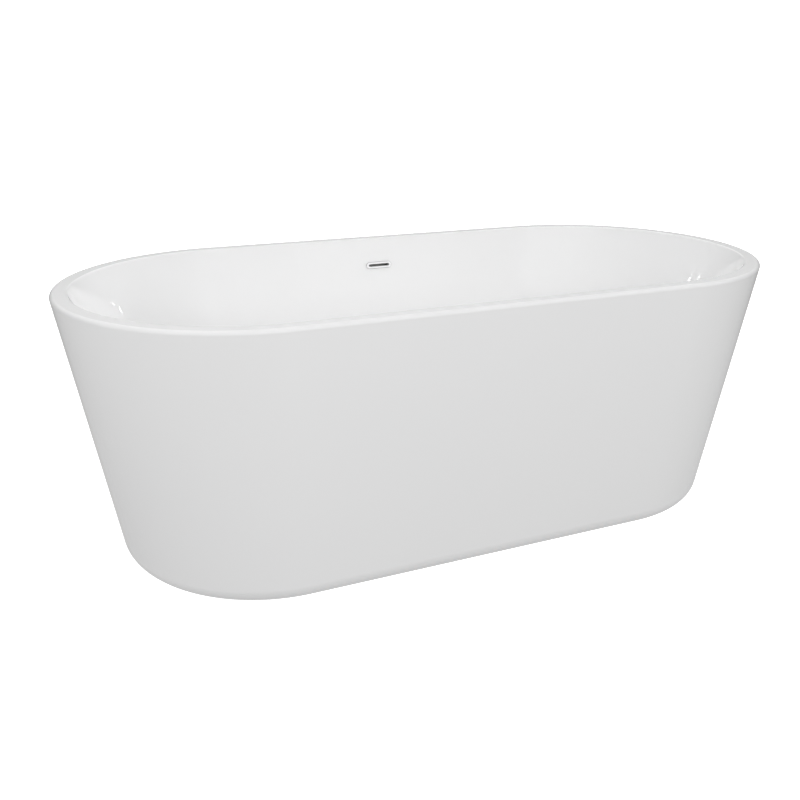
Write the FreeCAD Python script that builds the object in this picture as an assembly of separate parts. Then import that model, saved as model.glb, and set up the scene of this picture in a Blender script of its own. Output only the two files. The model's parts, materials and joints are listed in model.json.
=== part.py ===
"""Freestanding double-shell acrylic bathtub with a slot overflow, a toe-touch drain and a levelling frame.

Millimetres, +Z up. The origin is on the floor under the middle of the tub. X runs along the tub, and the
overflow is in the long wall on the +Y side. Each sub-part is written to parts/NODE.step.
"""

import FreeCAD
import Part
import math
import os

V = FreeCAD.Vector
UP = V(0, 0, 1)
X_AXIS = V(1, 0, 0)
Y_AXIS = V(0, 1, 0)
ORIGIN = V(0, 0, 0)
PAST = 1.0  # how far a cutting shape reaches past the face that it cuts
NEAR = 1e-3  # places closer than this are the same

# Overall size, to the widest points of the rounded rim
LENGTH = 1700.0
WIDTH = 800.0
HEIGHT = 620.0

# Outer walls: every plan section is a stadium, straight sides with half-round ends
END_LEAN_DEG = 8.8
SIDE_LEAN_DEG = 5.8
SHELL = 5.0
RIM_WIDTH = 36.0
RIM_OUTER_ROUND = 8.0
RIM_INNER_ROUND = 4.5
SEAM_Z = 590.0

# Outer skirt's lower edge
SKIRT_GAP = 3.0
SKIRT_BOTTOM_ROUND = 48.0
SKIRT_LIP = 75.0

# Joint strip laminated inside the seam
STRIP_LOW_Z = 570.0
STRIP_HIGH_Z = 604.0
STRIP_THICKNESS = 3.0

# Basin floor
BASIN_FLOOR_Z = 140.0
BASIN_FLOOR_LENGTH = 1190.0
BASIN_FLOOR_WIDTH = 510.0
BASIN_FLOOR_ROUND = 90.0
RECESS_R = 42.0
RECESS_DEPTH = 4.0
DRAIN_HOLE_R = 25.0

# Base board under the floor
BOARD_THICKNESS = 16.0
BOARD_LENGTH = 1000.0
BOARD_WIDTH = 350.0
BOARD_CORNER_R = 60.0
BOARD_DRAIN_HOLE_R = 55.0

# Support frame of square steel tube
TUBE = 30.0
TUBE_WALL = 2.0
TUBE_CORNER_R = 3.0
RAIL_LENGTH = 1000.0
RAIL_Y = 150.0
CROSS_BAR_XS = (-430.0, -160.0, 160.0, 430.0)
CENTRE_FOOT_BAR = 1

# Levelling feet: M12 x 1.75 stud in a weld nut
STUD_R = 6.0
STUD_RUNNING_FIT = 0.06
STUD_TOP_Z = 104.0
STUD_CHAMFER = 1.0
STUD_BOTTOM_Z = 8.2
STUD_HOLE_R = 6.8
STUD_COLLAR_FLATS = 17.0
STUD_COLLAR_LOW_Z = 26.0
STUD_COLLAR_HIGH_Z = 35.0
NUT_FLATS = 19.0
WELD_NUT_HEIGHT = 10.0
LOCK_NUT_HEIGHT = 7.0
PAD_R = 25.0
PAD_RIM_HEIGHT = 6.0
PAD_RIM_ROUND = 1.5
PAD_CONE_R = 21.0
PAD_NECK_R = 12.0
PAD_HEIGHT = 21.0
PAD_SOCKET_Z = 8.0

# Straps from the frame to the skirt's lip
STRAP_WIDTH = 28.0
STRAP_THICKNESS = 3.0
STRAP_TOP_DROP = 4.0
STRAP_BEND_R = 2.0
SIDE_STRAP_X = 300.0
STRAP_TIP_INSET = 5.0
STRAP_SCREW_INSET = 14.0

# Pan-head screws
SCREW_R = 2.5
SCREW_FIT = 0.05
SCREW_HEAD_R = 4.8
SCREW_HEAD_HEIGHT = 3.0
RAIL_SCREW_LENGTH = 12.0
LIP_SCREW_LENGTH = 7.0
BOARD_SCREW_LENGTH = 42.0
BOARD_SCREW_XS = (-360.0, -80.0, 80.0, 360.0)

# Drain, on the tub's vertical centre line
FLANGE_R = 35.0
FLANGE_THICKNESS = 2.5
FLANGE_ROUND = 1.2
FLANGE_SEAL = 1.0
FLANGE_SEAL_INSET = 1.0
FLANGE_TUBE_R = 22.5
FLANGE_BORE_R = 19.5
FLANGE_SEAT_R = 26.0
FLANGE_SEAT_DEPTH = 4.0
FLANGE_TUBE_LOW_Z = 100.0
HUB_R = 14.0
HUB_HEIGHT = 5.0
SPOKE_OVERLAP = 1.0  # how far a spoke runs into the hub and into the tube's wall
SPOKE_WIDTH = 4.0
SPOKE_COUNT = 4
BODY_WASHER = 5.0
BODY_FLANGE_R = 38.0
BODY_FLANGE_THICKNESS = 6.0
BODY_R = 28.0
BODY_BORE_R = 20.0
BODY_LOW_Z = 46.0
THREAD_FIT = 0.05
NECK_R = 24.0
NECK_BORE_R = 18.0
NECK_LOW_Z = 34.0
PORT_Z = 66.0
PORT_END_Y = 62.0
TAILPIECE_R = 20.0
TAILPIECE_BORE_R = 18.0
TAILPIECE_LOW_Z = 8.0
TAILPIECE_FREE_LENGTH = 17.0  # the stretch that a socket slips over
TAILPIECE_UPPER_R = 19.5
TAILPIECE_COLLAR_THICKNESS = 2.5
TAILPIECE_COLLAR_R = NECK_R - 0.5
TAILPIECE_WASHER = 1.5
TAILPIECE_NUT_FLATS = 60.0
TAILPIECE_NUT_HIGH_Z = 44.0
TAILPIECE_NUT_LIP = 3.0

# Toe-touch stopper, drawn closed
CAP_R = 31.0
CAP_EDGE_HEIGHT = 2.0
CAP_CROWN = 2.5
CAP_EDGE_ROUND = 0.9
CAP_SEAL_OUTER_R = 30.0
CAP_SEAL_INNER_R = 27.2
CAP_SEAL_THICKNESS = 1.5
PLUNGER_R = 7.0
PLUNGER_LOW_Z = 108.0
CARTRIDGE_R = 10.5
CARTRIDGE_FIT = 0.06
CARTRIDGE_LOW_Z = 94.0
CARTRIDGE_HIGH_Z = 130.0
CARTRIDGE_FLOOR = 3.0
SPRING_R = 5.2
SPRING_WIRE_R = 0.7
SPRING_TURNS = 4
SPRING_END_GAP = 0.15

# Overflow, in a frame on the inner face of the +Y wall: x along the tub, y up the wall, z into the basin
OVERFLOW_BELOW_RIM = 71.5
TRIM_LENGTH = 73.0
TRIM_HEIGHT = 17.0
TRIM_THICKNESS = 4.0
TRIM_ROUND = 1.5
SLOT_LENGTH = 58.0
SLOT_HEIGHT = 6.0
SLEEVE_LENGTH = 62.0
SLEEVE_HEIGHT = 11.6
SLEEVE_WALL = 1.4
SLEEVE_REACH = 14.0
OPENING_CLEARANCE = 0.8
TRIM_GASKET = 1.0
TRIM_GASKET_INSET = 0.5
BOX_SEAL = 1.5
BOX_SEAL_BORDER = 7.0
BOX_LENGTH = 92.0
BOX_HEIGHT = 34.0
BOX_WALL = 2.5
BOX_DEPTH = 28.0
BOX_ROUND = 4.0
SLEEVE_FIT = 0.1

# Overflow hose and its spigots
SPIGOT_R = 13.0
SPIGOT_BORE_R = 10.5
SPIGOT_LENGTH = 28.0
HOSE_R = 15.0
HOSE_FIT = 0.05
HOSE_WALL_CLEARANCE = 1.5
HOSE_END_GAP = 3.0
HOSE_BEND_R = 100.0
CLAMP_BAND = 1.2
CLAMP_WIDTH = 10.0
CLAMP_INSET = 8.0
CLAMP_BOX = (9.0, 14.0, 8.0)

# Heights and slopes that follow from the driving dimensions
BOARD_TOP_Z = BASIN_FLOOR_Z - SHELL
RAIL_TOP_Z = BOARD_TOP_Z - BOARD_THICKNESS
RAIL_LOW_Z = RAIL_TOP_Z - TUBE
LIP_TOP_Z = SKIRT_GAP + SHELL
RECESS_FLOOR_Z = BASIN_FLOOR_Z - RECESS_DEPTH
RECESS_UNDERSIDE_Z = RECESS_FLOOR_Z - SHELL
FLANGE_TOP_Z = RECESS_FLOOR_Z + FLANGE_SEAL + FLANGE_THICKNESS
BODY_TOP_Z = RECESS_UNDERSIDE_Z - BODY_WASHER
CAP_LOW_Z = FLANGE_TOP_Z + CAP_SEAL_THICKNESS
END_SLOPE = math.tan(math.radians(END_LEAN_DEG))
SIDE_SLOPE = math.tan(math.radians(SIDE_LEAN_DEG))


def square_edge_half(rounded_half, slope):
    """The half size that a leaning wall's square top edge has, before rounding brings it to rounded_half."""
    return rounded_half + RIM_OUTER_ROUND * (slope + math.hypot(1, slope) - 1)


OUTER_HALF_X = square_edge_half(LENGTH / 2, END_SLOPE)
OUTER_HALF_Y = square_edge_half(WIDTH / 2, SIDE_SLOPE)
INNER_HALF_X = OUTER_HALF_X - RIM_WIDTH
INNER_HALF_Y = OUTER_HALF_Y - RIM_WIDTH
BASIN_DEPTH = HEIGHT - BASIN_FLOOR_Z
BASIN_END_SLOPE = (INNER_HALF_X - BASIN_FLOOR_LENGTH / 2) / BASIN_DEPTH
BASIN_SIDE_SLOPE = (INNER_HALF_Y - BASIN_FLOOR_WIDTH / 2) / BASIN_DEPTH
OVERFLOW_Z = HEIGHT - OVERFLOW_BELOW_RIM
BASIN_SIDE_LEAN_DEG = math.degrees(math.atan(BASIN_SIDE_SLOPE))


# ---------------------------------------------------------------- shared shapes


def stadium_wire(half_x, half_y, z=0.0):
    """A closed stadium outline, long along X, at height z."""
    straight = half_x - half_y
    left, right = V(-half_x, 0, z), V(half_x, 0, z)
    corners = [V(sx * straight, sy * half_y, z) for sx, sy in ((1, -1), (1, 1), (-1, 1), (-1, -1))]
    edges = [
        Part.Arc(corners[0], right, corners[1]).toShape(),
        Part.makeLine(corners[1], corners[2]),
        Part.Arc(corners[2], left, corners[3]).toShape(),
        Part.makeLine(corners[3], corners[0]),
    ]
    return Part.Wire(edges)


def stadium_prism(length, height, z_low, z_high):
    """A straight prism with a stadium section of the given overall length and height."""
    face = Part.Face(stadium_wire(length / 2, height / 2, z_low))
    return face.extrude(V(0, 0, z_high - z_low))


def outer_outline(z, inset=0.0):
    """Half length and half width of the outer wall at height z, moved inward by inset."""
    half_x = OUTER_HALF_X - (HEIGHT - z) * END_SLOPE - inset * math.hypot(1, END_SLOPE)
    half_y = OUTER_HALF_Y - (HEIGHT - z) * SIDE_SLOPE - inset * math.hypot(1, SIDE_SLOPE)
    return half_x, half_y


def basin_outline(z, inset=0.0):
    """Half length and half width of the basin's inner wall at height z, moved inward by inset."""
    half_x = INNER_HALF_X - (HEIGHT - z) * BASIN_END_SLOPE - inset * math.hypot(1, BASIN_END_SLOPE)
    half_y = INNER_HALF_Y - (HEIGHT - z) * BASIN_SIDE_SLOPE - inset * math.hypot(1, BASIN_SIDE_SLOPE)
    return half_x, half_y


def tapered(outline, z_low, z_high, inset=0.0):
    """A solid between two heights whose wall follows an outline function."""
    wires = [stadium_wire(*outline(z, inset), z) for z in (z_low, z_high)]
    return Part.makeLoft(wires, True, True)


def edges_at(shape, z):
    """The edges that lie in the horizontal plane at height z."""
    boxes = [(edge, edge.BoundBox) for edge in shape.Edges]
    return [edge for edge, box in boxes if abs(box.ZMin - z) < NEAR and abs(box.ZMax - z) < NEAR]


def cylinder(radius, z_low, z_high, x=0.0, y=0.0):
    return Part.makeCylinder(radius, z_high - z_low, V(x, y, z_low), UP)


def ring(outer_r, inner_r, z_low, z_high):
    return cylinder(outer_r, z_low, z_high).cut(cylinder(inner_r, z_low, z_high))


def box_between(low, high):
    return Part.makeBox(high[0] - low[0], high[1] - low[1], high[2] - low[2], V(*low))


def hexagon_prism(flats, z_low, z_high, x=0.0, y=0.0):
    corner_r = flats / math.sqrt(3)
    angles = [math.radians(60 * k) for k in range(7)]
    corners = [V(x + corner_r * math.cos(a), y + corner_r * math.sin(a), z_low) for a in angles]
    return Part.Face(Part.makePolygon(corners)).extrude(V(0, 0, z_high - z_low))


def pan_screw(length):
    """A screw whose head's underside is at the origin, with its shank along -Z."""
    head = cylinder(SCREW_HEAD_R, 0, SCREW_HEAD_HEIGHT)
    head = head.makeFillet(SCREW_HEAD_HEIGHT / 3, edges_at(head, SCREW_HEAD_HEIGHT))
    return head.fuse(cylinder(SCREW_R, -length, 0)).removeSplitter()


def placed(shape, position, axis=UP, angle_deg=0.0):
    moved = shape.copy()
    moved.Placement = FreeCAD.Placement(position, FreeCAD.Rotation(axis, angle_deg))
    return moved


def one_solid(shape):
    """The only solid of a shape, so that each single piece is stored as one solid."""
    merged = shape.removeSplitter()
    if len(merged.Solids) != 1:
        raise ValueError(f"expected one solid, found {len(merged.Solids)}")
    return merged.Solids[0]


# ---------------------------------------------------------------- shells


def rim_block():
    """The solid block of rim and rolled lip, from the seam to the top, with its outer edge rounded."""
    block = tapered(outer_outline, SEAM_Z, HEIGHT)
    return block.makeFillet(RIM_OUTER_ROUND, edges_at(block, HEIGHT))


def rim_hollow():
    """The space under the rim, inside the rolled lip."""
    hollow = tapered(outer_outline, SEAM_Z - PAST, HEIGHT - SHELL, SHELL)
    return hollow.makeFillet(RIM_OUTER_ROUND - SHELL, edges_at(hollow, HEIGHT - SHELL))


def basin_form(inset, floor_z, top_z):
    """A filled basin: the cavity itself at inset 0, or the outside of its wall at a negative inset."""
    form = tapered(basin_outline, floor_z, top_z, inset)
    return form.makeFillet(BASIN_FLOOR_ROUND - inset, edges_at(form, floor_z))


def inner_basin():
    cavity = basin_form(0, BASIN_FLOOR_Z, HEIGHT)
    cavity = cavity.fuse(cylinder(RECESS_R, RECESS_FLOOR_Z, BASIN_FLOOR_Z))
    bowl = basin_form(-SHELL, BASIN_FLOOR_Z - SHELL, HEIGHT)
    bowl = bowl.fuse(cylinder(RECESS_R + SHELL, RECESS_UNDERSIDE_Z, BASIN_FLOOR_Z))
    lip = rim_block().cut(rim_hollow())
    shell = lip.fuse(bowl).cut(cavity)
    shell = shell.cut(cylinder(DRAIN_HOLE_R, RECESS_UNDERSIDE_Z, BASIN_FLOOR_Z))
    shell = shell.cut(on_wall(wall_opening(-2 * SHELL, SHELL)))
    shell = shell.removeSplitter()
    inner_x = basin_outline(HEIGHT)[0] + NEAR
    top_edges = [(edge, edge.BoundBox) for edge in edges_at(shell, HEIGHT)]
    inner_edges = [edge for edge, box in top_edges if box.XMax < inner_x and box.XMin > -inner_x]
    return shell.makeFillet(RIM_INNER_ROUND, inner_edges)


def outer_skirt():
    outside = tapered(outer_outline, SKIRT_GAP, SEAM_Z)
    outside = outside.makeFillet(SKIRT_BOTTOM_ROUND, edges_at(outside, SKIRT_GAP))
    inside = tapered(outer_outline, LIP_TOP_Z, SEAM_Z, SHELL)
    inside = inside.makeFillet(SKIRT_BOTTOM_ROUND - SHELL, edges_at(inside, LIP_TOP_Z))
    half_x, half_y = skirt_opening_halves()
    opening = stadium_prism(2 * half_x, 2 * half_y, 0, SEAM_Z)
    skirt = outside.cut(inside).cut(opening)
    for tip in strap_tips():
        skirt = skirt.cut(cylinder(SCREW_R + SCREW_FIT, 0, LIP_TOP_Z + PAST, tip.x, tip.y))
    return skirt


def skirt_opening_halves():
    """Half length and half width of the opening that the skirt's turned-in lip leaves."""
    half_x, half_y = outer_outline(SKIRT_GAP)
    return half_x - SKIRT_LIP, half_y - SKIRT_LIP


def rim_joint_strip():
    outside = tapered(outer_outline, STRIP_LOW_Z, STRIP_HIGH_Z, SHELL)
    inside = tapered(outer_outline, STRIP_LOW_Z, STRIP_HIGH_Z, SHELL + STRIP_THICKNESS)
    return outside.cut(inside)


def base_board():
    half_x, half_y = BOARD_LENGTH / 2, BOARD_WIDTH / 2
    board = box_between((-half_x, -half_y, RAIL_TOP_Z), (half_x, half_y, BOARD_TOP_Z))
    upright = [e for e in board.Edges if e.BoundBox.ZLength > BOARD_THICKNESS / 2]
    board = board.makeFillet(BOARD_CORNER_R, upright)
    board = board.cut(cylinder(BOARD_DRAIN_HOLE_R, RAIL_TOP_Z, BOARD_TOP_Z))
    for x, y in board_screw_places():
        board = board.cut(board_screw_hole(x, y))
    return board


# ---------------------------------------------------------------- frame


def square_tube(length):
    """A square tube along X, centred on the origin."""
    half = TUBE / 2
    outside = box_between((-length / 2, -half, -half), (length / 2, half, half))
    long_edges = [e for e in outside.Edges if e.BoundBox.XLength > length / 2]
    outside = outside.makeFillet(TUBE_CORNER_R, long_edges)
    inner = half - TUBE_WALL
    return outside.cut(box_between((-length / 2, -inner, -inner), (length / 2, inner, inner)))


def board_screw_places():
    return [(x, y) for y in (-RAIL_Y, RAIL_Y) for x in BOARD_SCREW_XS]


def board_screw_hole(x, y):
    high_z = RAIL_LOW_Z + BOARD_SCREW_LENGTH + PAST
    return cylinder(SCREW_R + SCREW_FIT, RAIL_LOW_Z - PAST, high_z, x, y)


def foot_places():
    """Four feet under the frame's corners and one under a middle cross bar, beside the drain."""
    ends = (CROSS_BAR_XS[0], CROSS_BAR_XS[-1])
    corners = [(x, y) for y in (-RAIL_Y, RAIL_Y) for x in ends]
    return corners + [(CROSS_BAR_XS[CENTRE_FOOT_BAR], 0.0)]


def stud_hole(x, y):
    """The clearance hole for a foot's stud in the lower wall of a tube."""
    return cylinder(STUD_HOLE_R, RAIL_LOW_Z - PAST, RAIL_LOW_Z + TUBE_WALL + PAST, x, y)


def strap_screw_hole(strap):
    """The hole for a strap's screw in the wall of the tube that it is fastened to."""
    angle, along, reach = strap["angle_deg"], strap["shift"], strap["root"]
    start = V(reach - 2 * TUBE_WALL, 0, 0)
    hole = Part.makeCylinder(SCREW_R + SCREW_FIT, 2 * TUBE_WALL + PAST, start, X_AXIS)
    return placed(hole, V(along, 0, strap_screw_z()), UP, angle)


def rail(side):
    tube = placed(square_tube(RAIL_LENGTH), V(0, side * RAIL_Y, RAIL_LOW_Z + TUBE / 2))
    for x, y in foot_places():
        tube = tube.cut(stud_hole(x, y))
    for x, y in board_screw_places():
        tube = tube.cut(board_screw_hole(x, y))
    for strap in straps():
        tube = tube.cut(strap_screw_hole(strap))
    return tube


def cross_bar(x):
    length = 2 * RAIL_Y - TUBE
    tube = placed(square_tube(length), V(x, 0, RAIL_LOW_Z + TUBE / 2), UP, 90)
    for foot_x, foot_y in foot_places():
        tube = tube.cut(stud_hole(foot_x, foot_y))
    for strap in straps():
        tube = tube.cut(strap_screw_hole(strap))
    return tube


def board_screws():
    screw = pan_screw(BOARD_SCREW_LENGTH)
    screw = placed(screw, ORIGIN, X_AXIS, 180)
    return Part.makeCompound([screw.translated(V(x, y, RAIL_LOW_Z)) for x, y in board_screw_places()])


# ---------------------------------------------------------------- levelling feet


def nut(height, top_z, x, y):
    body = hexagon_prism(NUT_FLATS, top_z - height, top_z, x, y)
    return body.cut(cylinder(STUD_R + STUD_RUNNING_FIT, top_z - height, top_z, x, y))


def foot_weld_nuts():
    return Part.makeCompound([nut(WELD_NUT_HEIGHT, RAIL_LOW_Z, x, y) for x, y in foot_places()])


def foot_lock_nuts():
    top_z = RAIL_LOW_Z - WELD_NUT_HEIGHT
    return Part.makeCompound([nut(LOCK_NUT_HEIGHT, top_z, x, y) for x, y in foot_places()])


def foot_stud(x, y):
    shank = cylinder(STUD_R, STUD_BOTTOM_Z, STUD_TOP_Z, x, y)
    shank = shank.makeChamfer(STUD_CHAMFER, edges_at(shank, STUD_TOP_Z))
    collar = hexagon_prism(STUD_COLLAR_FLATS, STUD_COLLAR_LOW_Z, STUD_COLLAR_HIGH_Z, x, y)
    return shank.fuse(collar)


def foot_pad(x, y):
    plate = cylinder(PAD_R, 0, PAD_RIM_HEIGHT, x, y)
    plate = plate.makeFillet(PAD_RIM_ROUND, edges_at(plate, PAD_RIM_HEIGHT))
    neck_height = PAD_HEIGHT - PAD_RIM_HEIGHT
    neck = Part.makeCone(PAD_CONE_R, PAD_NECK_R, neck_height, V(x, y, PAD_RIM_HEIGHT), UP)
    socket = cylinder(STUD_R + STUD_RUNNING_FIT, PAD_SOCKET_Z, PAD_HEIGHT, x, y)
    return plate.fuse(neck).cut(socket)


# ---------------------------------------------------------------- straps to the skirt


def straps():
    """One strap at each end and two along each side.

    Each has its turn about Z, its shift across that direction, and how far out its root and tip are.
    """
    half_x, half_y = skirt_opening_halves()
    lip_flat = SKIRT_LIP - SKIRT_BOTTOM_ROUND
    end_root = CROSS_BAR_XS[-1] + TUBE / 2
    side_root = RAIL_Y + TUBE / 2
    end = {"shift": 0.0, "root": end_root, "tip": half_x + lip_flat - STRAP_TIP_INSET}
    side = {"root": side_root, "tip": half_y + lip_flat - STRAP_TIP_INSET}
    found = [{"angle_deg": angle, **end} for angle in (0, 180)]
    for angle in (-90, 90):
        found += [{"angle_deg": angle, "shift": shift, **side} for shift in (-SIDE_STRAP_X, SIDE_STRAP_X)]
    return found


def strap_screw_z():
    return RAIL_LOW_Z + TUBE / 2


def strap_tips():
    """Where each strap's outer screw goes through the skirt's lip."""
    found = []
    for strap in straps():
        reach = strap["tip"] - STRAP_SCREW_INSET
        turn = math.radians(strap["angle_deg"])
        found.append(V(strap["shift"] + reach * math.cos(turn), reach * math.sin(turn), 0))
    return found


def skirt_bracket(strap):
    """An L-shaped strap: a tab up the side of the frame and a long foot on the skirt's lip."""
    root, tip = strap["root"], strap["tip"]
    top_z = RAIL_TOP_Z - STRAP_TOP_DROP
    low_z, high_z = LIP_TOP_Z, LIP_TOP_Z + STRAP_THICKNESS
    inner = root + STRAP_THICKNESS
    profile = [(root, low_z), (tip, low_z), (tip, high_z), (inner, high_z), (inner, top_z), (root, top_z)]
    points = [V(u, -STRAP_WIDTH / 2, z) for u, z in profile + profile[:1]]
    body = Part.Face(Part.makePolygon(points)).extrude(V(0, STRAP_WIDTH, 0))
    bends = ((root, low_z, STRAP_BEND_R + STRAP_THICKNESS), (inner, high_z, STRAP_BEND_R))
    for u, z, radius in bends:
        body = body.makeFillet(radius, [e for e in body.Edges if runs_across(e, u, z)])
    body = body.cut(cylinder(SCREW_R + SCREW_FIT, low_z, high_z, tip - STRAP_SCREW_INSET, 0))
    start = V(root - PAST, 0, strap_screw_z())
    body = body.cut(Part.makeCylinder(SCREW_R + SCREW_FIT, STRAP_THICKNESS + 2 * PAST, start, X_AXIS))
    return placed(body, V(strap["shift"], 0, 0), UP, strap["angle_deg"])


def runs_across(edge, u, z):
    """Whether a strap's edge runs along its width at the given place in its profile."""
    middle = edge.BoundBox.Center
    there = abs(middle.x - u) < NEAR and abs(middle.z - z) < NEAR
    return there and edge.BoundBox.YLength > STRAP_WIDTH / 2


def bracket_rail_screws():
    found = []
    for strap in straps():
        outer_face = strap["root"] + STRAP_THICKNESS
        screw = placed(pan_screw(RAIL_SCREW_LENGTH), V(outer_face, 0, 0), Y_AXIS, 90)
        found.append(turned(screw, V(strap["shift"], 0, strap_screw_z()), strap["angle_deg"]))
    return Part.makeCompound(found)


def turned(shape, position, angle_deg):
    """A shape turned about the vertical axis through the origin, and then moved."""
    moved = shape.copy()
    moved.rotate(ORIGIN, UP, angle_deg)
    moved.translate(position)
    return moved


def bracket_skirt_screws():
    screw = pan_screw(LIP_SCREW_LENGTH)
    head_z = LIP_TOP_Z + STRAP_THICKNESS
    return Part.makeCompound([screw.translated(V(tip.x, tip.y, head_z)) for tip in strap_tips()])


# ---------------------------------------------------------------- drain


def drain_flange():
    low_z = FLANGE_TOP_Z - FLANGE_THICKNESS
    plate = cylinder(FLANGE_R, low_z, FLANGE_TOP_Z)
    plate = plate.makeFillet(FLANGE_ROUND, edges_at(plate, FLANGE_TOP_Z))
    body = plate.fuse(cylinder(FLANGE_TUBE_R, FLANGE_TUBE_LOW_Z, low_z))
    body = body.cut(cylinder(FLANGE_BORE_R, FLANGE_TUBE_LOW_Z, FLANGE_TOP_Z))
    seat_low = V(0, 0, FLANGE_TOP_Z - FLANGE_SEAT_DEPTH)
    body = body.cut(Part.makeCone(FLANGE_BORE_R, FLANGE_SEAT_R, FLANGE_SEAT_DEPTH, seat_low, UP))
    hub_high = FLANGE_TUBE_LOW_Z + HUB_HEIGHT
    body = body.fuse(ring(HUB_R, CARTRIDGE_R + THREAD_FIT, FLANGE_TUBE_LOW_Z, hub_high))
    low = (HUB_R - SPOKE_OVERLAP, -SPOKE_WIDTH / 2, FLANGE_TUBE_LOW_Z)
    high = (FLANGE_BORE_R + SPOKE_OVERLAP, SPOKE_WIDTH / 2, hub_high)
    for k in range(SPOKE_COUNT):
        body = body.fuse(placed(box_between(low, high), ORIGIN, UP, 360 * (k + 0.5) / SPOKE_COUNT))
    return body


def drain_flange_seal():
    return ring(FLANGE_R - FLANGE_SEAL_INSET, DRAIN_HOLE_R, RECESS_FLOOR_Z, RECESS_FLOOR_Z + FLANGE_SEAL)


def drain_body_washer():
    return ring(BODY_FLANGE_R, DRAIN_HOLE_R, BODY_TOP_Z, RECESS_UNDERSIDE_Z)


def drain_body():
    chamber = cylinder(BODY_R, BODY_LOW_Z, BODY_TOP_Z)
    chamber = chamber.fuse(cylinder(BODY_FLANGE_R, BODY_TOP_Z - BODY_FLANGE_THICKNESS, BODY_TOP_Z))
    chamber = chamber.fuse(cylinder(NECK_R, NECK_LOW_Z, BODY_LOW_Z))
    port = Part.makeCylinder(SPIGOT_R, PORT_END_Y, V(0, 0, PORT_Z), Y_AXIS)
    body = chamber.fuse(port)
    body = body.cut(cylinder(FLANGE_TUBE_R + THREAD_FIT, FLANGE_TUBE_LOW_Z, BODY_TOP_Z))
    body = body.cut(cylinder(BODY_BORE_R, BODY_LOW_Z, FLANGE_TUBE_LOW_Z))
    body = body.cut(cylinder(NECK_BORE_R, NECK_LOW_Z, BODY_LOW_Z))
    return body.cut(Part.makeCylinder(SPIGOT_BORE_R, PORT_END_Y, V(0, 0, PORT_Z), Y_AXIS))


def tailpiece():
    collar_high = NECK_LOW_Z - TAILPIECE_WASHER
    collar_low = collar_high - TAILPIECE_COLLAR_THICKNESS
    free_high = TAILPIECE_LOW_Z + TAILPIECE_FREE_LENGTH
    body = cylinder(TAILPIECE_R, TAILPIECE_LOW_Z, free_high)
    body = body.fuse(cylinder(TAILPIECE_UPPER_R, free_high, collar_high))
    body = body.fuse(cylinder(TAILPIECE_COLLAR_R, collar_low, collar_high))
    return body.cut(cylinder(TAILPIECE_BORE_R, TAILPIECE_LOW_Z, collar_high))


def tailpiece_washer():
    return ring(TAILPIECE_COLLAR_R, TAILPIECE_BORE_R, NECK_LOW_Z - TAILPIECE_WASHER, NECK_LOW_Z)


def tailpiece_nut():
    lip_high = NECK_LOW_Z - TAILPIECE_WASHER - TAILPIECE_COLLAR_THICKNESS
    low_z = lip_high - TAILPIECE_NUT_LIP
    body = hexagon_prism(TAILPIECE_NUT_FLATS, low_z, TAILPIECE_NUT_HIGH_Z)
    body = body.cut(cylinder(NECK_R + THREAD_FIT, lip_high, TAILPIECE_NUT_HIGH_Z))
    return body.cut(cylinder(TAILPIECE_R + THREAD_FIT, low_z, lip_high))


# ---------------------------------------------------------------- stopper


def stopper_cap():
    """A low dome: a disc with a spherical crown."""
    edge_high = CAP_LOW_Z + CAP_EDGE_HEIGHT
    disc = cylinder(CAP_R, CAP_LOW_Z, edge_high)
    sphere_r = (CAP_R**2 + CAP_CROWN**2) / (2 * CAP_CROWN)
    sphere = Part.makeSphere(sphere_r, V(0, 0, edge_high + CAP_CROWN - sphere_r))
    crown = sphere.common(cylinder(CAP_R, edge_high, edge_high + CAP_CROWN))
    cap = disc.fuse(crown).removeSplitter()
    cap = cap.makeFillet(CAP_EDGE_ROUND, edges_at(cap, edge_high))
    return cap


def stopper_seal():
    return ring(CAP_SEAL_OUTER_R, CAP_SEAL_INNER_R, FLANGE_TOP_Z, CAP_LOW_Z)


def stopper_plunger():
    return cylinder(PLUNGER_R, PLUNGER_LOW_Z, CAP_LOW_Z)


def stopper_cartridge():
    sleeve = cylinder(CARTRIDGE_R, CARTRIDGE_LOW_Z, CARTRIDGE_HIGH_Z)
    floor_z = CARTRIDGE_LOW_Z + CARTRIDGE_FLOOR
    return sleeve.cut(cylinder(PLUNGER_R + CARTRIDGE_FIT, floor_z, CARTRIDGE_HIGH_Z))


def stopper_spring():
    """A helical wire spring that stands between the cartridge's floor and the plunger."""
    low_z = CARTRIDGE_LOW_Z + CARTRIDGE_FLOOR + SPRING_WIRE_R + SPRING_END_GAP
    high_z = PLUNGER_LOW_Z - SPRING_WIRE_R - SPRING_END_GAP
    height = high_z - low_z
    pitch = height / SPRING_TURNS
    helix = Part.makeHelix(pitch, height, SPRING_R)
    climb = math.atan2(pitch, 2 * math.pi * SPRING_R)
    tangent = V(0, math.cos(climb), math.sin(climb))
    section = Part.Wire(Part.makeCircle(SPRING_WIRE_R, V(SPRING_R, 0, 0), tangent))
    coil = Part.Wire(helix.Edges).makePipeShell([section], True, True)
    return placed(coil, V(0, 0, low_z))


# ---------------------------------------------------------------- overflow


def on_wall(shape):
    """Moves a shape from the overflow's own frame to its place on the +Y wall of the basin."""
    moved = shape.copy()
    moved.rotate(ORIGIN, X_AXIS, 90 - BASIN_SIDE_LEAN_DEG)
    moved.translate(V(0, basin_outline(OVERFLOW_Z)[1], OVERFLOW_Z))
    return moved


def wall_opening(z_low, z_high):
    """The stadium hole through the basin's wall for the trim's sleeve."""
    grow = 2 * OPENING_CLEARANCE
    return stadium_prism(SLEEVE_LENGTH + grow, SLEEVE_HEIGHT + grow, z_low, z_high)


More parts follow.
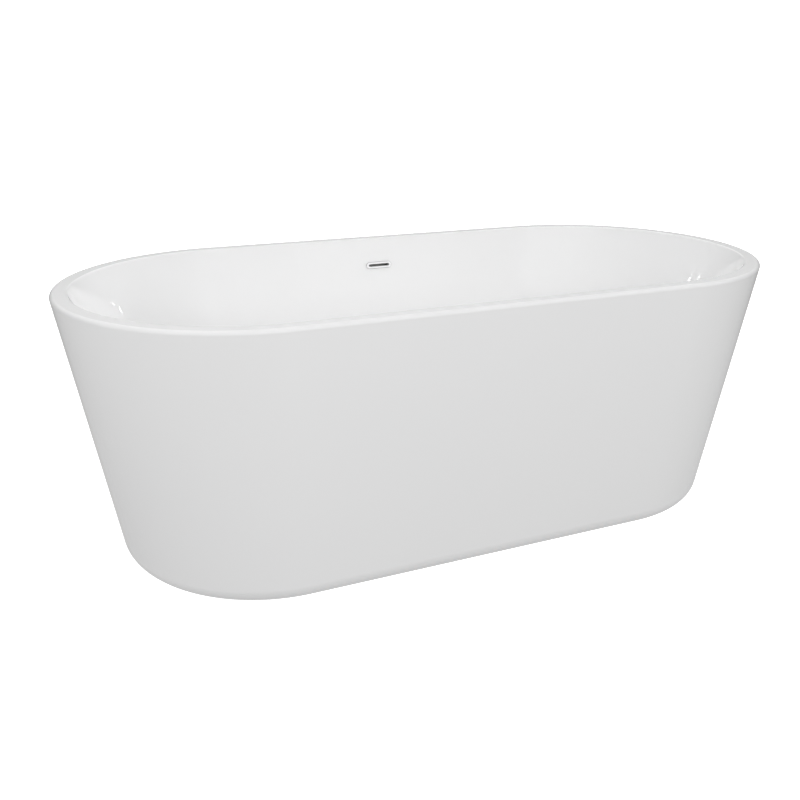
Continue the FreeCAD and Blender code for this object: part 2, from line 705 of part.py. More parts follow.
def overflow_trim():
    face_high = TRIM_GASKET + TRIM_THICKNESS
    plate = stadium_prism(TRIM_LENGTH, TRIM_HEIGHT, TRIM_GASKET, face_high)
    plate = plate.makeFillet(TRIM_ROUND, edges_at(plate, face_high))
    plate_middle = face_high - TRIM_THICKNESS / 2
    sleeve = stadium_prism(SLEEVE_LENGTH, SLEEVE_HEIGHT, plate_middle - SLEEVE_REACH, plate_middle)
    inner_length = SLEEVE_LENGTH - 2 * SLEEVE_WALL
    inner_height = SLEEVE_HEIGHT - 2 * SLEEVE_WALL
    trim = plate.fuse(sleeve)
    trim = trim.cut(stadium_prism(inner_length, inner_height, -SLEEVE_REACH, plate_middle))
    trim = trim.cut(stadium_prism(SLOT_LENGTH, SLOT_HEIGHT, 0, face_high))
    face_edges = [(edge, edge.BoundBox) for edge in edges_at(trim, face_high)]
    slot_edges = [edge for edge, box in face_edges if box.YMax < SLOT_HEIGHT and box.YMin > -SLOT_HEIGHT]
    return on_wall(trim.makeFillet(TRIM_ROUND / 2, slot_edges))


def overflow_gasket():
    shrink = 2 * TRIM_GASKET_INSET
    pad = stadium_prism(TRIM_LENGTH - shrink, TRIM_HEIGHT - shrink, 0, TRIM_GASKET)
    return on_wall(pad.cut(wall_opening(0, TRIM_GASKET)))


def overflow_box_seal():
    grow = 2 * BOX_SEAL_BORDER
    pad = stadium_prism(SLEEVE_LENGTH + grow, SLEEVE_HEIGHT + grow, -SHELL - BOX_SEAL, -SHELL)
    return on_wall(pad.cut(wall_opening(-SHELL - BOX_SEAL, -SHELL)))


def hose_axis_depth():
    """How far the hose's axis lies behind the basin's inner face."""
    return -(SHELL + HOSE_WALL_CLEARANCE + HOSE_R)


def overflow_box():
    front = -SHELL - BOX_SEAL
    half_x, half_y = BOX_LENGTH / 2, BOX_HEIGHT / 2
    body = box_between((-half_x, -half_y, front - BOX_DEPTH), (half_x, half_y, front))
    upright = [e for e in body.Edges if e.BoundBox.ZLength > BOX_DEPTH / 2]
    body = body.makeFillet(BOX_ROUND, upright)
    low = (-half_x + BOX_WALL, -half_y + BOX_WALL, front - BOX_DEPTH + BOX_WALL)
    high = (half_x - BOX_WALL, half_y - BOX_WALL, front - BOX_WALL)
    spigot_start = V(0, -half_y, hose_axis_depth())
    down = V(0, -1, 0)
    body = body.fuse(Part.makeCylinder(SPIGOT_R, SPIGOT_LENGTH, spigot_start, down))
    body = body.cut(box_between(low, high))
    bore_start = V(0, 0, hose_axis_depth())
    body = body.cut(Part.makeCylinder(SPIGOT_BORE_R, half_y + SPIGOT_LENGTH, bore_start, down))
    grow = 2 * SLEEVE_FIT
    mouth = stadium_prism(SLEEVE_LENGTH + grow, SLEEVE_HEIGHT + grow, front - BOX_WALL, front)
    return on_wall(body.cut(mouth))


def wall_point(y, z):
    """A point of the overflow's own frame, in the tub's frame."""
    return on_wall(Part.Vertex(0, y, z)).Point


def hose_corners():
    """The hose's route: down between the shells, then in under the basin to the drain body."""
    start_y = -BOX_HEIGHT / 2 - HOSE_END_GAP
    start = wall_point(start_y, hose_axis_depth())
    further = wall_point(start_y - SPIGOT_LENGTH, hose_axis_depth())
    down = further.sub(start)
    corner = start.add(down.multiply((PORT_Z - start.z) / down.z))
    end = V(0, PORT_END_Y - SPIGOT_LENGTH + HOSE_END_GAP, PORT_Z)
    return start, corner, end


def hose_path():
    start, corner, end = hose_corners()
    to_start = start.sub(corner).normalize()
    to_end = end.sub(corner).normalize()
    half_turn = (math.pi - to_start.getAngle(to_end)) / 2
    tangent = HOSE_BEND_R * math.tan(half_turn)
    first = corner.add(V(to_start).multiply(tangent))
    last = corner.add(V(to_end).multiply(tangent))
    to_centre = to_start.add(to_end).normalize()
    to_middle = HOSE_BEND_R / math.cos(half_turn) - HOSE_BEND_R
    middle = corner.add(to_centre.multiply(to_middle))
    edges = [Part.makeLine(start, first), Part.Arc(first, middle, last).toShape(), Part.makeLine(last, end)]
    return Part.Wire(edges)


def overflow_hose():
    path = hose_path()
    start, corner, _ = hose_corners()
    direction = corner.sub(start).normalize()
    solids = []
    for radius in (HOSE_R, SPIGOT_R + HOSE_FIT):
        section = Part.Wire(Part.makeCircle(radius, start, direction))
        solids.append(path.makePipeShell([section], True, False))
    outside, inside = solids
    return outside.cut(inside)


def hose_clamp():
    """A worm-drive clamp about the Z axis, centred at the origin."""
    half = CLAMP_WIDTH / 2
    band = ring(HOSE_R + HOSE_FIT + CLAMP_BAND, HOSE_R + HOSE_FIT, -half, half)
    depth, across, height = CLAMP_BOX
    screw_y = HOSE_R + CLAMP_BAND / 2
    housing = box_between((-across / 2, screw_y, -height / 2), (across / 2, screw_y + depth, height / 2))
    return band.fuse(housing.cut(cylinder(HOSE_R + HOSE_FIT, -height, height)))


def hose_clamp_top():
    """The clamp on the overflow box's spigot, with its screw along the wall."""
    place = V(0, CLAMP_INSET - BOX_HEIGHT / 2 - SPIGOT_LENGTH, hose_axis_depth())
    clamp = placed(hose_clamp(), place, X_AXIS, 90)
    clamp.rotate(place, Y_AXIS, 90)
    return on_wall(clamp)


def hose_clamp_bottom():
    """The clamp on the drain body's port, with its screw below the hose."""
    place = V(0, PORT_END_Y - CLAMP_INSET, PORT_Z)
    clamp = placed(hose_clamp(), place, X_AXIS, 90)
    clamp.rotate(place, Y_AXIS, 180)
    return clamp


# ---------------------------------------------------------------- output


def sub_parts():
    """Every sub-part by node name. Single pieces are checked to be one solid."""
    single = {
        "inner_basin": inner_basin(),
        "outer_skirt": outer_skirt(),
        "rim_joint_strip": rim_joint_strip(),
        "base_board": base_board(),
        "front_rail": rail(-1),
        "back_rail": rail(1),
        "drain_flange": drain_flange(),
        "drain_flange_seal": drain_flange_seal(),
        "drain_body_washer": drain_body_washer(),
        "drain_body": drain_body(),
        "tailpiece": tailpiece(),
        "tailpiece_washer": tailpiece_washer(),
        "tailpiece_nut": tailpiece_nut(),
        "stopper_cap": stopper_cap(),
        "stopper_seal": stopper_seal(),
        "stopper_plunger": stopper_plunger(),
        "stopper_cartridge": stopper_cartridge(),
        "stopper_spring": stopper_spring(),
        "overflow_trim": overflow_trim(),
        "overflow_gasket": overflow_gasket(),
        "overflow_box_seal": overflow_box_seal(),
        "overflow_box": overflow_box(),
        "overflow_hose": overflow_hose(),
        "hose_clamp_top": hose_clamp_top(),
        "hose_clamp_bottom": hose_clamp_bottom(),
    }
    for number, x in enumerate(CROSS_BAR_XS, 1):
        single[f"cross_bar_{number}"] = cross_bar(x)
    for number, (x, y) in enumerate(foot_places(), 1):
        single[f"foot_stud_{number}"] = foot_stud(x, y)
        single[f"foot_pad_{number}"] = foot_pad(x, y)
    for number, strap in enumerate(straps(), 1):
        single[f"skirt_bracket_{number}"] = skirt_bracket(strap)
    groups = {
        "board_screws": board_screws(),
        "foot_weld_nuts": foot_weld_nuts(),
        "foot_lock_nuts": foot_lock_nuts(),
        "bracket_rail_screws": bracket_rail_screws(),
        "bracket_skirt_screws": bracket_skirt_screws(),
    }
    return {**{node: one_solid(shape) for node, shape in single.items()}, **groups}


def main():
    os.makedirs("parts", exist_ok=True)
    for node, shape in sub_parts().items():
        if not shape.isValid():
            raise ValueError(f"{node} is not a valid shape")
        shape.exportStep(f"parts/{node}.step")
        box = shape.BoundBox
        print(f"{node}: {shape.Volume / 1000:.1f} cm3, z {box.ZMin:.1f} to {box.ZMax:.1f}")


main()
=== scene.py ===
"""Freestanding acrylic bathtub on a pale studio floor. Metres, +Z up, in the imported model's own frame."""

import json
import math

import bmesh
import bpy
import numpy as np
from mathutils import Matrix, Vector


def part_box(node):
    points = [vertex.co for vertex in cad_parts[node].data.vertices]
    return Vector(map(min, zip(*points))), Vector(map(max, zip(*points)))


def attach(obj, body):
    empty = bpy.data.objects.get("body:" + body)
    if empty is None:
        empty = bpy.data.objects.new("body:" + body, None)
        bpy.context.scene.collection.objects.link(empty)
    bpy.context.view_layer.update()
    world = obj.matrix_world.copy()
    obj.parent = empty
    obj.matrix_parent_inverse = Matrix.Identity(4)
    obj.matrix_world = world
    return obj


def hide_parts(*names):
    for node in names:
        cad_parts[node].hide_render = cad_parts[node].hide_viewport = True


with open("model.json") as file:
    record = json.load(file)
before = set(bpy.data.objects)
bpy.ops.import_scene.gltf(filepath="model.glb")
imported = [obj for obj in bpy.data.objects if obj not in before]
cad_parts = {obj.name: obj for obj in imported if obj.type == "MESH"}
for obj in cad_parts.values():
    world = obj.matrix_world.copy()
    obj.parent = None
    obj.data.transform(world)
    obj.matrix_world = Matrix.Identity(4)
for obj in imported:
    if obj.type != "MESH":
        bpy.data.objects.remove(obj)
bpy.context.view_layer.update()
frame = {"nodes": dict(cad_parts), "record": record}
nodes = frame["nodes"]

# ---------------------------------------------------------------- sizes of the shells, in metres

RIM_TOP_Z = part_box("inner_basin")[1].z
SEAM_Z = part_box("outer_skirt")[1].z
SKIRT_LOW_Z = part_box("outer_skirt")[0].z
BASIN_LOW_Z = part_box("inner_basin")[0].z
LENGTH = 1.700
WIDTH = 0.800
SHELL = 0.005
END_SLOPE = math.tan(math.radians(8.8))
SIDE_SLOPE = math.tan(math.radians(5.8))
RIM_WIDTH = 0.036
RIM_OUTER_ROUND = 0.008
RIM_INNER_ROUND = 0.0045
SKIRT_BOTTOM_ROUND = 0.048
SKIRT_LIP = 0.075
LIP_EDGE_ROUND = 0.0015
BASIN_FLOOR_Z = 0.140
BASIN_FLOOR_LENGTH = 1.190
BASIN_FLOOR_WIDTH = 0.510
BASIN_FLOOR_ROUND = 0.090
RECESS_R = 0.042
RECESS_Z = 0.136
RECESS_ROUND = 0.0015
DRAIN_HOLE_R = 0.025

# Mesh density of the shells: columns around the tub, then rows over each round and along each wall
END_COLUMNS = 72
SIDE_COLUMNS = 36
RIM_ROUND_ROWS = 14
RIM_HOLLOW_ROWS = 10
INNER_EDGE_ROWS = 10
FLOOR_ROUND_ROWS = 28
FLOOR_BACK_ROUND_ROWS = 24
SKIRT_ROUND_ROWS = 26
SKIRT_BACK_ROUND_ROWS = 22
SMALL_ROUND_ROWS = 5
WALL_ROWS = 24
BASIN_BACK_ROWS = 16
SKIRT_BACK_ROWS = 20
FLOOR_ROWS = 8
BAND_ROWS = 3
STEP_ROWS = 2
# How far from a round the rows lie that keep its shading off the flat beside it
SUPPORT = 0.0008

QUARTER = math.pi / 2


def square_edge_half(rounded_half, slope):
    """Half size of a leaning wall's square top edge, from its half size after rounding."""
    return rounded_half + RIM_OUTER_ROUND * (slope + math.hypot(1, slope) - 1)


class Wall:
    """A tapered stadium wall: its half length and half width are linear in z."""

    def __init__(self, half_x, half_y, slope_x, slope_y):
        self.half_x, self.half_y = half_x, half_y
        self.slope_x, self.slope_y = slope_x, slope_y

    def inset(self, depth):
        """The same wall moved inward, as the CAD model moves it."""
        return Wall(
            self.half_x - depth * math.hypot(1, self.slope_x),
            self.half_y - depth * math.hypot(1, self.slope_y),
            self.slope_x,
            self.slope_y,
        )

    def halves(self, z):
        """Half length and half width at one height."""
        drop = RIM_TOP_Z - z
        return self.half_x - drop * self.slope_x, self.half_y - drop * self.slope_y

    def slope(self, turn):
        """Outward slope of the wall where its plan normal is turn from the X axis."""
        return self.slope_y + (self.slope_x - self.slope_y) * np.abs(np.cos(turn))


OUTER = Wall(
    square_edge_half(LENGTH / 2, END_SLOPE),
    square_edge_half(WIDTH / 2, SIDE_SLOPE),
    END_SLOPE,
    SIDE_SLOPE,
)
BASIN_DEPTH = RIM_TOP_Z - BASIN_FLOOR_Z
BASIN_HALF_X = OUTER.half_x - RIM_WIDTH
BASIN_HALF_Y = OUTER.half_y - RIM_WIDTH
BASIN = Wall(
    BASIN_HALF_X,
    BASIN_HALF_Y,
    (BASIN_HALF_X - BASIN_FLOOR_LENGTH / 2) / BASIN_DEPTH,
    (BASIN_HALF_Y - BASIN_FLOOR_WIDTH / 2) / BASIN_DEPTH,
)

# ---------------------------------------------------------------- rows of points around the tub

END_TURNS = np.linspace(-QUARTER, QUARTER, END_COLUMNS + 1)


def around(point_at):
    """A closed row of points. point_at gives (x, y, z) arrays for plan normals on the +X end."""
    x, y, z = point_at(END_TURNS)
    z = z + np.zeros_like(x)
    right = np.stack([x, y, z], 1)
    left = right[::-1] * (-1, 1, 1)
    share = np.linspace(0, 1, SIDE_COLUMNS + 1)[1:-1, None]
    back = right[-1] + (left[0] - right[-1]) * share
    front = left[-1] + (right[0] - left[-1]) * share
    return np.concatenate([right, back, left, front])


def ball_row(wall, centre_z, radius, lift, hollow=False):
    """A row on the round between a wall and a level face.

    lift is the angle of the round's normal above level. hollow is for a ball on the far side of the wall,
    as at the rim's inner edge.
    """
    side = -1 if hollow else 1

    def point_at(turn):
        half_x, half_y = wall.halves(centre_z)
        slope = wall.slope(turn)
        lean = np.hypot(1, slope)
        angle = lift(slope) if callable(lift) else lift
        support = (half_x - half_y) * np.cos(turn) + half_y - side * radius * lean
        slope_turn = -(wall.slope_x - wall.slope_y) * np.sin(turn)
        support_turn = -(half_x - half_y) * np.sin(turn) - side * radius * slope * slope_turn / lean
        reach = support + side * radius * np.cos(angle)
        x = reach * np.cos(turn) - support_turn * np.sin(turn)
        y = reach * np.sin(turn) + support_turn * np.cos(turn)
        return x, y, centre_z + radius * np.sin(angle)

    return around(point_at)


def ball_rows(wall, centre_z, radius, start, end, count, hollow=False):
    """Rows over a round. start and end are angles, or None for the angle at which it meets the wall."""
    rows = []
    for share in np.linspace(0, 1, count + 1):

        def lift(slope, share=share):
            meets = np.arctan(slope) * (1 if hollow else -1)
            first = meets if start is None else start
            last = meets if end is None else end
            return first + (last - first) * share

        rows.append(ball_row(wall, centre_z, radius, lift, hollow))
    return rows


def wall_row(wall, z):
    """A row straight across the wall at one height."""

    def point_at(turn):
        half_x, half_y = wall.halves(z)
        return half_x - half_y + half_y * np.cos(turn), half_y * np.sin(turn), z + 0 * turn

    return around(point_at)


def between(first, last, count, support=SUPPORT):
    """The rows between two rows, with one close to each end so that the rounds shade cleanly."""
    gap = np.linalg.norm(last - first, axis=1).mean()
    near = min(support / gap, 0.2)
    shares = np.concatenate([[near], np.linspace(0, 1, count + 1)[1:-1], [1 - near]])
    return [first + (last - first) * share for share in np.unique(shares)]


def circle_row(like, radius, z):
    """A circle whose points lie in the same directions from the centre as those of another row."""
    turn = np.arctan2(like[:, 1], like[:, 0])
    return np.stack([radius * np.cos(turn), radius * np.sin(turn), np.full(len(turn), z)], 1)


def circle_round(like, radius, centre_z, size, start, end, count):
    """Rows of a small round along a circular edge, from start to end about (radius, centre_z)."""
    return [
        circle_row(like, radius + size * math.cos(angle), centre_z + size * math.sin(angle))
        for angle in np.linspace(start, end, count + 1)
    ]


def mesh_of_rows(name, rows, closed=False):
    """One quad sheet through all rows, each of them a closed loop. closed joins the last row to the first."""
    count = len(rows[0])
    vertices = np.concatenate(rows)
    faces = []
    for r in range(len(rows) - 1 + closed):
        low, high = r * count, (r + 1) % len(rows) * count
        for c in range(count):
            d = (c + 1) % count
            faces.append((low + c, low + d, high + d, high + c))
    mesh = bpy.data.meshes.new(name)
    mesh.from_pydata(vertices.tolist(), [], faces)
    return mesh


def finished(mesh, name, sharp_deg=35):
    """An object of a mesh with its normals outward, smooth but for its real edges."""
    bm = bmesh.new()
    bm.from_mesh(mesh)
    bmesh.ops.recalc_face_normals(bm, faces=bm.faces)
    bm.to_mesh(mesh)
    bm.free()
    mesh.polygons.foreach_set("use_smooth", [True] * len(mesh.polygons))
    mesh.set_sharp_from_angle(angle=math.radians(sharp_deg))
    piece = bpy.data.objects.new(name, mesh)
    bpy.context.collection.objects.link(piece)
    return piece


# ---------------------------------------------------------------- shells


def basin_mesh():
    """The basin's skin, from the seam over the rim, down the inside to the drain hole and back up behind."""
    rim_round_z = RIM_TOP_Z - RIM_OUTER_ROUND
    rim_round = ball_rows(OUTER, rim_round_z, RIM_OUTER_ROUND, None, QUARTER, RIM_ROUND_ROWS)
    inner_edge_z = RIM_TOP_Z - RIM_INNER_ROUND
    inner_edge = ball_rows(BASIN, inner_edge_z, RIM_INNER_ROUND, QUARTER, None, INNER_EDGE_ROWS, hollow=True)
    floor_round_z = BASIN_FLOOR_Z + BASIN_FLOOR_ROUND
    floor_round = ball_rows(BASIN, floor_round_z, BASIN_FLOOR_ROUND, None, -QUARTER, FLOOR_ROUND_ROWS)
    seam = wall_row(OUTER, SEAM_Z)
    rows = [seam, *between(seam, rim_round[0], BAND_ROWS), *rim_round]
    rows += [*between(rim_round[-1], inner_edge[0], BAND_ROWS), *inner_edge]
    rows += [*between(inner_edge[-1], floor_round[0], WALL_ROWS), *floor_round]

    like = floor_round[-1]
    high_place = (RECESS_R + RECESS_ROUND, BASIN_FLOOR_Z - RECESS_ROUND, RECESS_ROUND)
    recess_high = circle_round(like, *high_place, QUARTER, 2 * QUARTER, SMALL_ROUND_ROWS)
    low_place = (RECESS_R - RECESS_ROUND, RECESS_Z + RECESS_ROUND, RECESS_ROUND)
    recess_low = circle_round(like, *low_place, 0, -QUARTER, SMALL_ROUND_ROWS)
    hole_high = circle_row(like, DRAIN_HOLE_R, RECESS_Z)
    hole_low = circle_row(like, DRAIN_HOLE_R, BASIN_LOW_Z)
    rows += [*between(floor_round[-1], recess_high[0], FLOOR_ROWS), *recess_high]
    rows += [*recess_low, *between(recess_low[-1], hole_high, STEP_ROWS), hole_high, hole_low]

    behind = BASIN.inset(-SHELL)
    behind_round_size = BASIN_FLOOR_ROUND + SHELL
    behind_round = ball_rows(behind, floor_round_z, behind_round_size, -QUARTER, None, FLOOR_BACK_ROUND_ROWS)
    under_recess = circle_row(like, RECESS_R + SHELL, BASIN_LOW_Z)
    over_recess = circle_row(like, RECESS_R + SHELL, BASIN_FLOOR_Z - SHELL)
    rows += [*between(hole_low, under_recess, STEP_ROWS), under_recess, over_recess]
    rows += [*between(over_recess, behind_round[0], FLOOR_ROWS), *behind_round]

    wall_top = wall_row(behind, RIM_TOP_Z - SHELL)
    inside_lip = OUTER.inset(SHELL)
    hollow_size = RIM_OUTER_ROUND - SHELL
    hollow_round = ball_rows(inside_lip, rim_round_z, hollow_size, QUARTER, None, RIM_HOLLOW_ROWS)
    lip_end = wall_row(inside_lip, SEAM_Z)
    rows += [*between(behind_round[-1], wall_top, BASIN_BACK_ROWS), wall_top]
    rows += [*between(wall_top, hollow_round[0], STEP_ROWS), *hollow_round]
    rows += [*between(hollow_round[-1], lip_end, BAND_ROWS), lip_end]
    return mesh_of_rows("acrylic_basin", rows, closed=True)


def skirt_mesh():
    """The skirt's skin, from the seam down the outside, round the turned-in lip and back up the inside."""
    seam = wall_row(OUTER, SEAM_Z)
    round_z = SKIRT_LOW_Z + SKIRT_BOTTOM_ROUND
    bottom = ball_rows(OUTER, round_z, SKIRT_BOTTOM_ROUND, None, -QUARTER, SKIRT_ROUND_ROWS)
    rows = [seam, *between(seam, bottom[0], WALL_ROWS), *bottom]

    half_x, half_y = OUTER.halves(SKIRT_LOW_Z)
    opening = Wall(half_x - SKIRT_LIP, half_y - SKIRT_LIP, 0, 0)
    low_z, high_z = SKIRT_LOW_Z + LIP_EDGE_ROUND, SKIRT_LOW_Z + SHELL - LIP_EDGE_ROUND
    low_edge = ball_rows(opening, low_z, LIP_EDGE_ROUND, -QUARTER, None, SMALL_ROUND_ROWS, hollow=True)
    high_edge = ball_rows(opening, high_z, LIP_EDGE_ROUND, None, QUARTER, SMALL_ROUND_ROWS, hollow=True)
    rows += [*between(bottom[-1], low_edge[0], BAND_ROWS), *low_edge, *high_edge]

    inside = OUTER.inset(SHELL)
    inside_size = SKIRT_BOTTOM_ROUND - SHELL
    inside_round = ball_rows(inside, round_z, inside_size, -QUARTER, None, SKIRT_BACK_ROUND_ROWS)
    inner_seam = wall_row(inside, SEAM_Z)
    rows += [*between(high_edge[-1], inside_round[0], BAND_ROWS), *inside_round]
    rows += [*between(inside_round[-1], inner_seam, SKIRT_BACK_ROWS), inner_seam]
    return mesh_of_rows("acrylic_skirt", rows, closed=True)


def stadium_loop(length, height, count=16):
    """Points of a stadium outline in its own plane, counter-clockwise."""
    radius = height / 2
    straight = length / 2 - radius
    points = []
    for side, first in ((1, -90), (-1, 90)):
        for k in range(count + 1):
            turn = math.radians(first + 180 * k / count)
            points.append((side * straight + radius * math.cos(turn), radius * math.sin(turn)))
    return points


def prism_object(name, outline, low, high):
    """A straight prism from an outline, as an object for cutting."""
    count = len(outline)
    vertices = [(x, y, z) for z in (low, high) for x, y in outline]
    sides = [(k, (k + 1) % count, (k + 1) % count + count, k + count) for k in range(count)]
    faces = [tuple(range(count - 1, -1, -1)), tuple(range(count, 2 * count)), *sides]
    mesh = bpy.data.meshes.new(name)
    mesh.from_pydata(vertices, [], faces)
    piece = bpy.data.objects.new(name, mesh)
    bpy.context.collection.objects.link(piece)
    return piece


def combine(piece, other, operation):
    """Joins a closed mesh to a piece, or cuts it out of the piece, for good. other is used up."""
    modifier = piece.modifiers.new("combine", "BOOLEAN")
    modifier.operation = operation
    modifier.solver = "EXACT"
    modifier.object = other
    bpy.context.view_layer.update()
    evaluated = piece.evaluated_get(bpy.context.evaluated_depsgraph_get())
    mesh = bpy.data.meshes.new_from_object(evaluated)
    piece.modifiers.remove(modifier)
    old = piece.data
    piece.data = mesh
    mesh.name = old.name
    bpy.data.meshes.remove(old)
    bpy.data.objects.remove(other)


OVERFLOW_BELOW_RIM = 0.0715
OVERFLOW_Z = RIM_TOP_Z - OVERFLOW_BELOW_RIM
# Length and height of the hole through the basin's wall
WALL_HOLE = (0.0636, 0.0132)


def overflow_place():
    """The matrix of the overflow's own frame: x along the tub, y up the wall, z into the basin."""
    lean = math.atan(BASIN.slope_y)
    wall_y = BASIN.halves(OVERFLOW_Z)[1]
    return Matrix.Translation((0, wall_y, OVERFLOW_Z)) @ Matrix.Rotation(QUARTER - lean, 4, "X")


def make_shells(materials):
    """The two acrylic shells, with the overflow's hole through the basin's wall."""
    basin = finished(basin_mesh(), "acrylic_basin")
    hole = prism_object("hole", stadium_loop(*WALL_HOLE), -2 * SHELL, SHELL)
    hole.matrix_world = overflow_place()
    combine(basin, hole, "DIFFERENCE")
    skirt = finished(skirt_mesh(), "acrylic_skirt")
    stands_for(basin, "inner_basin", "tub", "acrylic", materials)
    stands_for(skirt, "outer_skirt", "tub", "acrylic", materials)


# ---------------------------------------------------------------- turned and threaded pieces

FEET = 5
STUD_R = 0.006
STUD_PITCH = 0.00175
STUD_THREAD_DEPTH = 0.00095
COLLAR_FLATS = 0.017
COLLAR_LOW_Z = 0.026
COLLAR_HIGH_Z = 0.035
NUT_FLATS = 0.019
NUT_BORE_R = 0.00606
CHAMFER_DEPTH = 0.0012
CHAMFER_SLOPE = math.tan(math.radians(60))
CHAMFER_START = 0.98  # the chamfer's radius on the end face, as a share of the distance to the flats
CHAMFER_ROWS = 5
SCREW_R = 0.0025
SCREW_THREAD_DEPTH = 0.0005
SCREW_HEAD_R = 0.0048
SCREW_HEAD_HEIGHT = 0.003
# Shares of the head's radius and height: its underside, its flat top and its straight side
SCREW_UNDERSIDE = 0.96
SCREW_FLAT = 0.45
SCREW_SIDE = 0.4
# The cross recess's sections: share of the head's height, then half length and half width by its radius
RECESS_SECTIONS = ((0.35, 0.22, 0.055), (1.1, 0.50, 0.10))
MACHINE_PITCH = 0.0008
BOARD_SCREW_PITCH = 0.0018
BOARD_SCREW_XS = (-0.36, -0.08, 0.08, 0.36)
BOARD_SCREW_LENGTH = 0.042
RAIL_SCREW_LENGTH = 0.012
LIP_SCREW_LENGTH = 0.007
STRAPS = 6
STRAP_THICKNESS = 0.003
STRAP_SCREW_INSET = 0.014
# One thread: share of the pitch and share of the depth at each corner of its profile
THREAD_PROFILE = ((0.0, 1.0), (0.14, 1.0), (0.48, 0.0), (0.66, 0.0))


def thread_rows(radius, pitch, depth, low_z, high_z, columns):
    """Vertices and faces of a rod with a right-hand thread, a turn or more too long at each end."""
    corners = len(THREAD_PROFILE)
    row_count = (math.ceil((high_z - low_z) / pitch) + 3) * corners
    vertices, faces = [], []
    for k in range(row_count):
        share, height = THREAD_PROFILE[k % corners]
        for c in range(columns):
            z = low_z + (k // corners - 2 + share + c / columns) * pitch
            from_end = min(z - low_z, high_z - z)
            chamfered = radius - depth + max(from_end, 0)
            reach = min(radius - (1 - height) * depth, chamfered)
            turn = 2 * math.pi * c / columns
            vertices.append((reach * math.cos(turn), reach * math.sin(turn), z))
    for k in range(row_count - 1):
        for c in range(columns):
            low, high = k * columns + c, (k + 1) * columns + c
            step = 1 if c + 1 < columns else corners * columns - c
            if high + step < row_count * columns:
                faces.append((low, low + step, high + step, high))
    return vertices, faces


def threaded_rod(name, radius, pitch, depth, low_z, high_z, columns=24):
    """A closed rod along Z with a right-hand thread, chamfered at both ends."""
    vertices, faces = thread_rows(radius, pitch, depth, low_z, high_z, columns)
    mesh = bpy.data.meshes.new(name)
    mesh.from_pydata(vertices, [], faces)
    bm = bmesh.new()
    bm.from_mesh(mesh)
    for z, way in ((low_z, -1), (high_z, 1)):
        everything = [*bm.verts, *bm.edges, *bm.faces]
        plane = {"plane_co": (0, 0, z), "plane_no": (0, 0, way)}
        bmesh.ops.bisect_plane(bm, geom=everything, clear_outer=True, **plane)
        close_at(bm, z)
    bm.to_mesh(mesh)
    bm.free()
    return finished(mesh, name)


def close_at(bm, z):
    """A flat face over the open end that lies at height z."""

    def on_level(edge):
        return all(abs(vertex.co.z - z) < SUPPORT / 100 for vertex in edge.verts)

    bmesh.ops.holes_fill(bm, edges=[edge for edge in bm.edges if edge.is_boundary and on_level(edge)])


def turned_rows(profile, columns=32):
    """Circles about Z for each (radius, z) of a profile."""
    turn = np.arange(columns) * 2 * math.pi / columns
    across, along, level = np.cos(turn), np.sin(turn), np.ones(columns)
    return [np.stack([radius * across, radius * along, z * level], 1) for radius, z in profile]


def capped(mesh):
    """The mesh with its two open ends closed by flat faces."""
    bm = bmesh.new()
    bm.from_mesh(mesh)
    bmesh.ops.holes_fill(bm, edges=[edge for edge in bm.edges if edge.is_boundary])
    bm.to_mesh(mesh)
    bm.free()
    return mesh


def hexagon_rows(flats, low_z, high_z, columns=48):
    """Rows of a hexagon with a corner on the X axis, its corners turned off at both ends."""
    turn = np.arange(columns) * 2 * math.pi / columns
    from_flat = turn % (math.pi / 3) - math.pi / 6
    side_r = flats / 2 / np.cos(from_flat)
    depths = np.linspace(0, CHAMFER_DEPTH, CHAMFER_ROWS)
    rows = []
    for z, depth in [*((low_z + d, d) for d in depths), *((high_z - d, d) for d in depths[::-1])]:
        cone_r = flats / 2 * CHAMFER_START + depth * CHAMFER_SLOPE
        reach = np.minimum(side_r, cone_r) if depth < CHAMFER_DEPTH else side_r
        rows.append(np.stack([reach * np.cos(turn), reach * np.sin(turn), np.full(columns, z)], 1))
    return rows


def foot_stud():
    """The mesh of one stud: an M12 rod with a chamfered hexagon collar."""
    low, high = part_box("foot_stud_1")
    rod = threaded_rod("foot_stud", STUD_R, STUD_PITCH, STUD_THREAD_DEPTH, low.z, high.z)
    collar = capped(mesh_of_rows("collar", hexagon_rows(COLLAR_FLATS, COLLAR_LOW_Z, COLLAR_HIGH_Z)))
    combine(rod, finished(collar, "collar"), "UNION")
    return take_mesh(rod)


def take_mesh(piece):
    """The mesh of a piece that is only needed to make others. The piece goes."""
    mesh = piece.data
    bpy.data.objects.remove(piece)
    return mesh


def nut_mesh(low_z, high_z):
    """A hexagon nut between two heights, its bore chamfered at both mouths."""
    outside = hexagon_rows(NUT_FLATS, low_z, high_z)
    bore_high = circle_row(outside[-1], NUT_BORE_R, high_z - STUD_THREAD_DEPTH / 2)
    bore_low = circle_row(outside[0], NUT_BORE_R, low_z + STUD_THREAD_DEPTH / 2)
    mouths = [circle_row(outside[0], NUT_BORE_R + STUD_THREAD_DEPTH / 2, z) for z in (high_z, low_z)]
    return mesh_of_rows("nut", [*outside, mouths[0], bore_high, bore_low, mouths[1]], closed=True)


